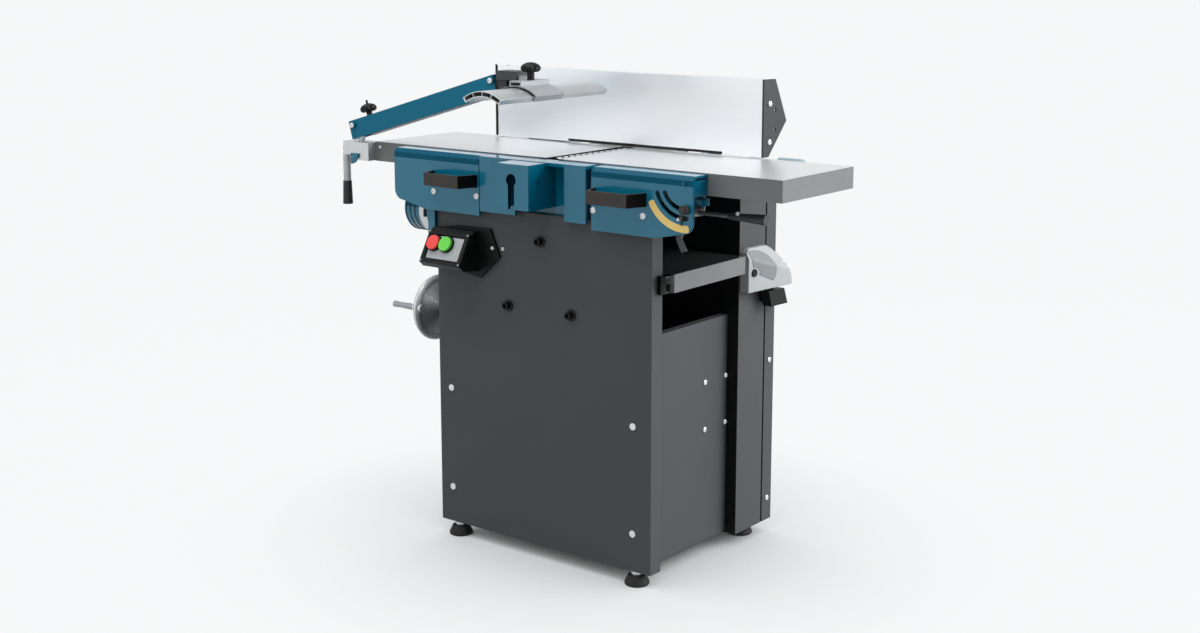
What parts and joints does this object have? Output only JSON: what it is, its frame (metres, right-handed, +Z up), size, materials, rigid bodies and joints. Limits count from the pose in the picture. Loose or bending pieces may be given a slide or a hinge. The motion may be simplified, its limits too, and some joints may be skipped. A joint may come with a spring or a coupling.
{
  "type": "combination planer thicknesser",
  "caption": "Floor-standing combination planer and thicknesser: long planing tables with fence and bridge guard over a thicknesser tunnel in a sheet-steel cabinet.",
  "frame": {"origin": "middle of the overall footprint, on the floor under the feet", "axes": "+X along the planing tables to the infeed end, +Y to the drive side behind the fence, +Z up"},
  "size_m": [1.135, 0.568, 1.0207],
  "materials": {
    "sheet_paint": "dark grey powder coat",
    "blue_paint": "satin blue paint",
    "cast_iron": "grey casting",
    "planed_iron": "planed top, grey painted edges",
    "alloy": "satin extrusion",
    "steel": "turned steel",
    "chrome": "polished",
    "carbide": "ground edges",
    "bronze": "turned",
    "black_plastic": "moulded black",
    "brown_plastic": "moulded grey-brown",
    "light_plastic": "moulded light grey",
    "black_paint": "black paint",
    "dark_plate": "dark grey paint",
    "red_plastic": "moulded red",
    "green_plastic": "moulded green",
    "rubber": "moulded"
  },
  "bodies": {
    "frame": {"base_pan": "sheet_paint", "front_panel": "sheet_paint", "left_side_panel": "sheet_paint", "right_side_panel": "sheet_paint", "drive_case": "sheet_paint", "drive_cover": "sheet_paint", "panel_screws": "chrome", "feet": "rubber", "front_head_casting": "blue_paint", "rear_head_plate": "cast_iron", "cutter_bearings": "steel", "feed_gearbox": "cast_iron", "motor": "cast_iron", "drive_belt": "rubber", "guide_column": "cast_iron", "dust_hood": "blue_paint", "dust_port": "blue_paint", "switch_bracket": "black_paint", "switch_box": "black_plastic", "feed_lever_cover": "light_plastic", "hinge_pin": "steel"},
    "cutter": {"cutterhead": "steel", "cutter_inserts": "carbide", "cutter_pulley": "cast_iron"},
    "motor_rotor": {"motor_pulley": "cast_iron"},
    "infeed_roll": {"infeed_roller": "steel"},
    "outfeed_roll": {"outfeed_roller": "steel"},
    "thick_table": {"thicknesser_table": "cast_iron", "elevating_nut": "bronze"},
    "screw": {"elevating_screw": "steel"},
    "wheel": {"handwheel": "chrome", "handwheel_shaft": "steel"},
    "crank": {"crank_grip": "brown_plastic"},
    "outfeed": {"outfeed_table": "planed_iron", "outfeed_apron": "blue_paint", "outfeed_handle": "black_paint", "outfeed_hinge_arms": "blue_paint", "fence_rail": "blue_paint", "guard_clamp_block": "alloy"},
    "infeed_carrier": {"infeed_hinge_arms": "blue_paint"},
    "infeed": {"infeed_table": "planed_iron", "infeed_apron": "blue_paint", "infeed_handle": "black_paint"},
    "depth_arm": {"depth_lever": "steel"},
    "depth_lock": {"depth_knob": "brown_plastic"},
    "table_lock": {"table_lock_lever": "black_plastic"},
    "fence_slide": {"fence_carriage": "cast_iron"},
    "fence": {"fence_plate": "alloy", "fence_end_plates": "dark_plate"},
    "arm": {"guard_arm": "blue_paint"},
    "link": {"guard_link": "alloy"},
    "head": {"guard_head": "black_plastic", "guard_carriage": "alloy"},
    "profile": {"guard_profile": "alloy"},
    "guard_clamp": {"guard_knob": "black_plastic"},
    "arm_clamp": {"arm_knob": "black_plastic"},
    "clamp": {"clamp_lever": "steel"},
    "stop": {"stop_button": "red_plastic"},
    "start": {"start_button": "green_plastic"},
    "feed": {"feed_lever": "black_plastic"}
  },
  "joints": [
    {"name": "cutter_spin", "type": "hinge", "parent": "frame", "child": "cutter", "pos_m": [0.0295, 0.003, 0.804], "axis": [0, 1, 0], "continuous": true},
    {"name": "motor_spin", "type": "hinge", "parent": "frame", "child": "motor_rotor", "pos_m": [-0.12275, 0.163, 0.19], "axis": [0, 1, 0], "continuous": true},
    {"name": "infeed_roller_spin", "type": "hinge", "parent": "frame", "child": "infeed_roll", "pos_m": [0.0875, 0.003, 0.789], "axis": [0, 1, 0], "continuous": true},
    {"name": "outfeed_roller_spin", "type": "hinge", "parent": "frame", "child": "outfeed_roll", "pos_m": [-0.0285, 0.003, 0.789], "axis": [0, 1, 0], "continuous": true},
    {"name": "handwheel_turn", "type": "hinge", "parent": "frame", "child": "wheel", "pos_m": [-0.3285, -0.085, 0.475], "axis": [1, 0, 0], "range_deg": [-3600, 720]},
    {"name": "screw_turn", "type": "hinge", "parent": "frame", "child": "screw", "pos_m": [0.0295, -0.085, 0.475], "axis": [0, 0, 1], "range_deg": [-721, 3601]},
    {"name": "thicknesser_raise", "type": "slide", "parent": "frame", "child": "thick_table", "axis": [0, 0, 1], "range_m": [-0.0401, 0.0081]},
    {"name": "crank_grip_spin", "type": "hinge", "parent": "wheel", "child": "crank", "pos_m": [-0.3665, -0.145, 0.483], "axis": [1, 0, 0], "continuous": true},
    {"name": "outfeed_flip", "type": "hinge", "parent": "frame", "child": "outfeed", "pos_m": [0.0295, 0.238, 0.806], "axis": [-1, 0, 0], "range_deg": [0, 85]},
    {"name": "infeed_flip", "type": "hinge", "parent": "frame", "child": "infeed_carrier", "pos_m": [0.0295, 0.238, 0.806], "axis": [-1, 0, 0], "range_deg": [0, 85]},
    {"name": "infeed_depth", "type": "slide", "parent": "infeed_carrier", "child": "infeed", "axis": [0, 0, 1], "range_m": [-0.003, 0]},
    {"name": "depth_lever_turn", "type": "hinge", "parent": "infeed", "child": "depth_arm", "pos_m": [0.3855, -0.167, 0.815], "axis": [0, 1, 0], "range_deg": [-0.1, 58.1]},
    {"name": "depth_knob_turn", "type": "hinge", "parent": "depth_arm", "child": "depth_lock", "pos_m": [0.38973, -0.177, 0.76668], "axis": [0, 1, 0], "range_deg": [-90, 90]},
    {"name": "table_lock_turn", "type": "hinge", "parent": "infeed", "child": "table_lock", "pos_m": [0.3295, -0.057, 0.743], "axis": [0, 1, 0], "range_deg": [0, 35]},
    {"name": "fence_shift", "type": "slide", "parent": "outfeed", "child": "fence_slide", "axis": [0, -1, 0], "range_m": [0, 0.045]},
    {"name": "fence_tilt", "type": "hinge", "parent": "fence_slide", "child": "fence", "pos_m": [-0.1905, 0.136, 0.84], "axis": [-1, 0, 0], "range_deg": [0, 45]},
    {"name": "guard_arm_swing", "type": "hinge", "parent": "outfeed", "child": "arm", "pos_m": [-0.5165, -0.127, 0.8645], "axis": [0, -1, 0], "range_deg": [-15, 20]},
    {"name": "guard_link_swing", "type": "hinge", "parent": "outfeed", "child": "link", "pos_m": [-0.5125, -0.127, 0.8445], "axis": [0, -1, 0], "range_deg": [-15.1, 20.1]},
    {"name": "guard_head_level", "type": "hinge", "parent": "arm", "child": "head", "pos_m": [-0.11261, -0.127, 0.9797], "axis": [0, -1, 0], "range_deg": [-20.1, 15.1]},
    {"name": "guard_profile_slide", "type": "slide", "parent": "head", "child": "profile", "axis": [0, 1, 0], "range_m": [-0.1, 0.005]},
    {"name": "guard_knob_turn", "type": "hinge", "parent": "head", "child": "guard_clamp", "pos_m": [-0.01101, -0.139, 1], "axis": [0, 0, 1], "range_deg": [-90, 90]},
    {"name": "arm_knob_turn", "type": "hinge", "parent": "arm", "child": "arm_clamp", "pos_m": [-0.48009, -0.127, 0.88632], "axis": [-0.2743, 0, 0.9616], "range_deg": [-90, 90]},
    {"name": "clamp_lever_turn", "type": "hinge", "parent": "outfeed", "child": "clamp", "pos_m": [-0.5505, -0.127, 0.811], "axis": [1, 0, 0], "range_deg": [-60, 60]},
    {"name": "stop_press", "type": "slide", "parent": "frame", "child": "stop", "axis": [0, 0.8774, -0.4798], "range_m": [0, 0.004], "stiffness_N_per_m": 500},
    {"name": "start_press", "type": "slide", "parent": "frame", "child": "start", "axis": [0, 0.8774, -0.4798], "range_m": [0, 0.003], "stiffness_N_per_m": 400},
    {"name": "feed_lever_turn", "type": "hinge", "parent": "frame", "child": "feed", "pos_m": [0.3095, 0.168, 0.589], "axis": [1, 0, 0], "range_deg": [-45, 0]}
  ],
  "couplings": [
    {"joint": "motor_spin", "follows": "cutter_spin", "ratio": 0.66667},
    {"joint": "outfeed_roller_spin", "follows": "infeed_roller_spin", "ratio": 1},
    {"joint": "screw_turn", "follows": "handwheel_turn", "ratio": -1},
    {"joint": "thicknesser_raise", "follows": "handwheel_turn", "m_per_rad": 0.00063662},
    {"joint": "infeed_flip", "follows": "outfeed_flip", "ratio": 1},
    {"joint": "depth_lever_turn", "follows": "infeed_depth", "rad_per_m": -337.43},
    {"joint": "guard_link_swing", "follows": "guard_arm_swing", "ratio": 1},
    {"joint": "guard_head_level", "follows": "guard_arm_swing", "ratio": -1}
  ]
}
